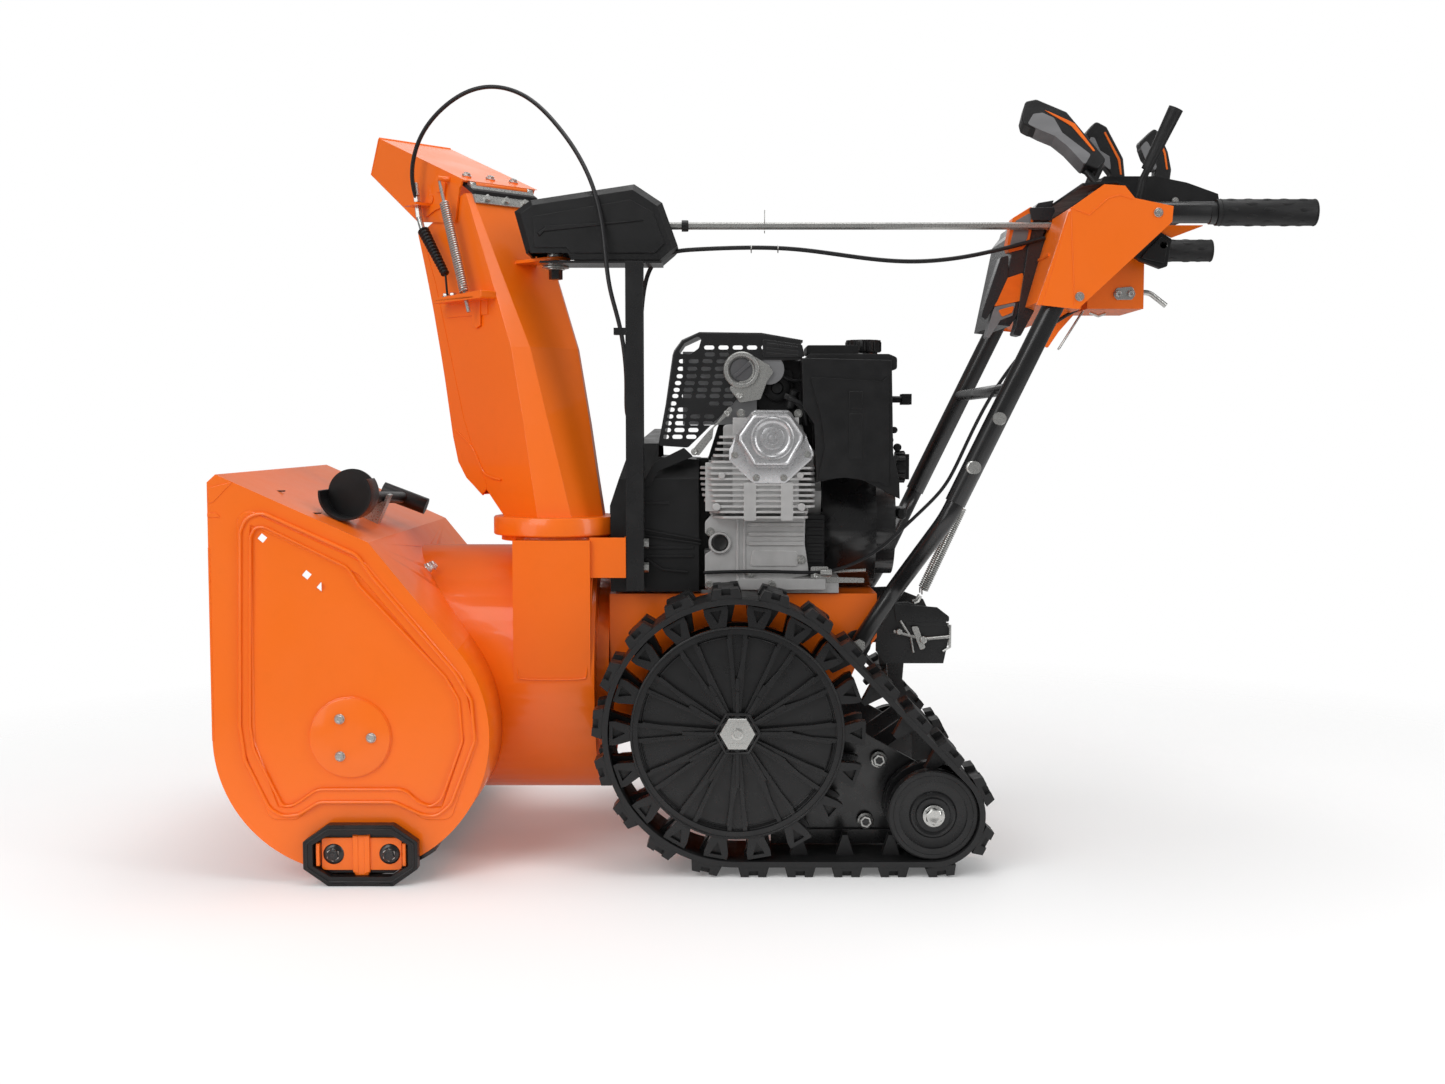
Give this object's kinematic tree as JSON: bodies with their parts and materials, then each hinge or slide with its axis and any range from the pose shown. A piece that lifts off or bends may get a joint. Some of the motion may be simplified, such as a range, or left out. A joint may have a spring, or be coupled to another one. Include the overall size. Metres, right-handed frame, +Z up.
{
  "type": "two stage snowblower",
  "caption": "Tracked two stage petrol snowblower: auger housing, turning chute with tilting deflector, engine, rubber tracks, handlebars and control console.",
  "frame": {"origin": "on the ground, at the middle of the machine's length and width", "axes": "+Z up, -X forwards (the auger side), +X towards the operator, -Y to the operator's left"},
  "size_m": [1.544, 0.666, 1.1537],
  "materials": {
    "orange_paint": "gloss powder coat",
    "black_paint": "satin powder coat",
    "black_plastic": "fine grained moulding",
    "wheel_plastic": "satin moulding",
    "track_rubber": "matt moulded rubber",
    "grip_rubber": "matt rubber",
    "skid_black": "moulded polymer with painted steel plate inside",
    "cast_alloy": "die cast, blasted",
    "polished_alloy": "polished",
    "zinc_steel": "zinc plated",
    "raw_steel": "ground",
    "cast_iron": "as cast",
    "lever_grip": "two colour moulding",
    "belt_rubber": "cloth wrapped",
    "cable_sheath": "smooth PVC",
    "lamp_housing": "gloss moulding"
  },
  "bodies": {
    "chassis": {"auger_housing": "orange_paint", "scraper_blade": "black_paint", "impeller_housing": "orange_paint", "auger_gearcase": "cast_iron", "deflector_spring": "zinc_steel", "deflector_cable": "cable_sheath", "chute_post": "black_paint", "gearbox_cover": "black_plastic", "chassis_frame": "orange_paint", "rear_bracket": "black_paint", "engine_block": "cast_alloy", "cylinder_head": "cast_alloy", "valve_cover": "polished_alloy", "muffler": "raw_steel", "muffler_guard": "black_paint", "fuel_tank": "black_paint", "engine_cowl": "black_plastic", "recoil_housing": "black_paint", "transmission": "raw_steel", "drive_belts": "belt_rubber", "belt_cover": "black_plastic", "handlebar_lower": "black_paint", "handlebar_upper": "black_paint", "grips": "grip_rubber", "console_shell": "orange_paint", "console_panel": "black_plastic", "headlight_housing": "lamp_housing", "clutch_cables": "zinc_steel", "fasteners": "zinc_steel"},
    "chute": {"chute": "orange_paint", "chute_fittings": "zinc_steel"},
    "deflector": {"chute_deflector": "orange_paint"},
    "chute_crank": {"crank_rod": "zinc_steel", "chute_lever": "lever_grip"},
    "speed_control": {"speed_lever": "lever_grip"},
    "deflector_control": {"deflector_lever": "lever_grip"},
    "clutch_left": {"clutch_lever_left": "grip_rubber"},
    "clutch_right": {"clutch_lever_right": "grip_rubber"},
    "latch_trigger": {"mode_trigger": "zinc_steel"},
    "throttle": {"throttle_knob": "black_plastic"},
    "choke": {"choke_knob": "black_plastic"},
    "tank_cap": {"fuel_cap": "black_plastic"},
    "starter_grip": {"recoil_handle": "black_plastic"},
    "clean_out_scoop": {"clean_out_tool": "black_plastic"},
    "skid_left": {"skid_shoe_left": "skid_black"},
    "skid_right": {"skid_shoe_right": "skid_black"},
    "augers": {"auger_flight_left": "orange_paint", "auger_flight_right": "orange_paint", "auger_shaft": "raw_steel"},
    "impeller_rotor": {"impeller": "orange_paint", "impeller_drive": "raw_steel"},
    "engine_shaft": {"crankshaft": "raw_steel"},
    "track_carriage": {"track_frames": "black_paint", "track_belt_left": "track_rubber", "track_belt_right": "track_rubber"},
    "drive_axle": {"axle": "raw_steel", "drive_wheel_left": "wheel_plastic", "drive_wheel_right": "wheel_plastic"},
    "idler_left": {"idler_wheel_left": "wheel_plastic"},
    "idler_right": {"idler_wheel_right": "wheel_plastic"}
  },
  "joints": [
    {"name": "chute_rotation", "type": "hinge", "parent": "chassis", "child": "chute", "pos_m": [-0.311, -0.095, 0.7], "axis": [0, 0, 1], "range_deg": [-45, 135], "deforming": ["deflector_cable", "deflector_spring"]},
    {"name": "deflector_tilt", "type": "hinge", "parent": "chute", "child": "deflector", "pos_m": [-0.40575, -0.00025, 1.006], "axis": [-0.7071, -0.7071, 0], "range_deg": [0, 40], "deforming": ["deflector_spring", "deflector_cable"]},
    {"name": "chute_crank_turn", "type": "hinge", "parent": "chassis", "child": "chute_crank", "pos_m": [0, -0.095, 0.9365], "axis": [1, 0, 0], "range_deg": [-20.2, 60.2]},
    {"name": "speed_lever_swing", "type": "hinge", "parent": "chassis", "child": "speed_control", "pos_m": [0.54, 0.059, 0.915], "axis": [0, 1, 0], "range_deg": [-14, 14]},
    {"name": "deflector_lever_swing", "type": "hinge", "parent": "chassis", "child": "deflector_control", "pos_m": [0.625, 0.119, 0.925], "axis": [0, -1, 0], "range_deg": [0, 20]},
    {"name": "clutch_left_squeeze", "type": "hinge", "parent": "chassis", "child": "clutch_left", "pos_m": [0.524, -0.216, 0.938], "axis": [0, 1, 0], "range_deg": [0, 55], "stiffness_Nm_per_rad": 1.6, "springref_deg": -20.05},
    {"name": "clutch_right_squeeze", "type": "hinge", "parent": "chassis", "child": "clutch_right", "pos_m": [0.524, 0.216, 0.938], "axis": [0, 1, 0], "range_deg": [0, 55], "stiffness_Nm_per_rad": 1.6, "springref_deg": -20.05},
    {"name": "latch_trigger_pull", "type": "hinge", "parent": "chassis", "child": "latch_trigger", "pos_m": [0.545, -0.097, 0.836], "axis": [0, -1, 0], "range_deg": [0, 18], "stiffness_Nm_per_rad": 0.3, "springref_deg": -17.19},
    {"name": "throttle_turn", "type": "hinge", "parent": "chassis", "child": "throttle", "pos_m": [0.205, -0.11, 0.577], "axis": [1, 0, 0], "range_deg": [0, 90]},
    {"name": "choke_turn", "type": "hinge", "parent": "chassis", "child": "choke", "pos_m": [0.2, -0.096, 0.678], "axis": [1, 0, 0], "range_deg": [0, 90]},
    {"name": "fuel_cap_turn", "type": "hinge", "parent": "chassis", "child": "tank_cap", "pos_m": [0.158, -0.012, 0.76], "axis": [0, 0, 1], "range_deg": [0, 90]},
    {"name": "starter_pull", "type": "slide", "parent": "chassis", "child": "starter_grip", "axis": [1, 0, 0], "range_m": [0, 0.5], "stiffness_N_per_m": 25, "springref_m": -0.4},
    {"name": "scoop_lift", "type": "slide", "parent": "chassis", "child": "clean_out_scoop", "axis": [0.4102, 0, 0.912], "range_m": [0, 0.12]},
    {"name": "skid_left_height", "type": "slide", "parent": "chassis", "child": "skid_left", "axis": [0, 0, 1], "range_m": [-0.012, 0.012]},
    {"name": "skid_right_height", "type": "slide", "parent": "chassis", "child": "skid_right", "axis": [0, 0, 1], "range_m": [-0.012, 0.012]},
    {"name": "auger_spin", "type": "hinge", "parent": "chassis", "child": "augers", "pos_m": [-0.579, 0, 0.205], "axis": [0, 1, 0], "continuous": true},
    {"name": "impeller_spin", "type": "hinge", "parent": "chassis", "child": "impeller_rotor", "pos_m": [-0.3, 0, 0.262], "axis": [1, 0, 0], "continuous": true},
    {"name": "crankshaft_spin", "type": "hinge", "parent": "chassis", "child": "engine_shaft", "pos_m": [0, 0.01, 0.49], "axis": [1, 0, 0], "continuous": true},
    {"name": "carriage_tilt", "type": "hinge", "parent": "chassis", "child": "track_carriage", "pos_m": [-0.04, 0, 0.205], "axis": [0, -1, 0], "range_deg": [0, 15]},
    {"name": "drive_axle_spin", "type": "hinge", "parent": "chassis", "child": "drive_axle", "pos_m": [-0.04, 0, 0.205], "axis": [0, 1, 0], "continuous": true},
    {"name": "idler_left_spin", "type": "hinge", "parent": "track_carriage", "child": "idler_left", "pos_m": [0.238, -0.24, 0.087], "axis": [0, 1, 0], "continuous": true},
    {"name": "idler_right_spin", "type": "hinge", "parent": "track_carriage", "child": "idler_right", "pos_m": [0.238, 0.24, 0.087], "axis": [0, 1, 0], "continuous": true}
  ],
  "couplings": [
    {"joint": "chute_crank_turn", "follows": "chute_rotation", "ratio": 0.44444},
    {"joint": "deflector_lever_swing", "follows": "deflector_tilt", "ratio": 0.5},
    {"joint": "auger_spin", "follows": "impeller_spin", "ratio": 0.1}
  ]
}
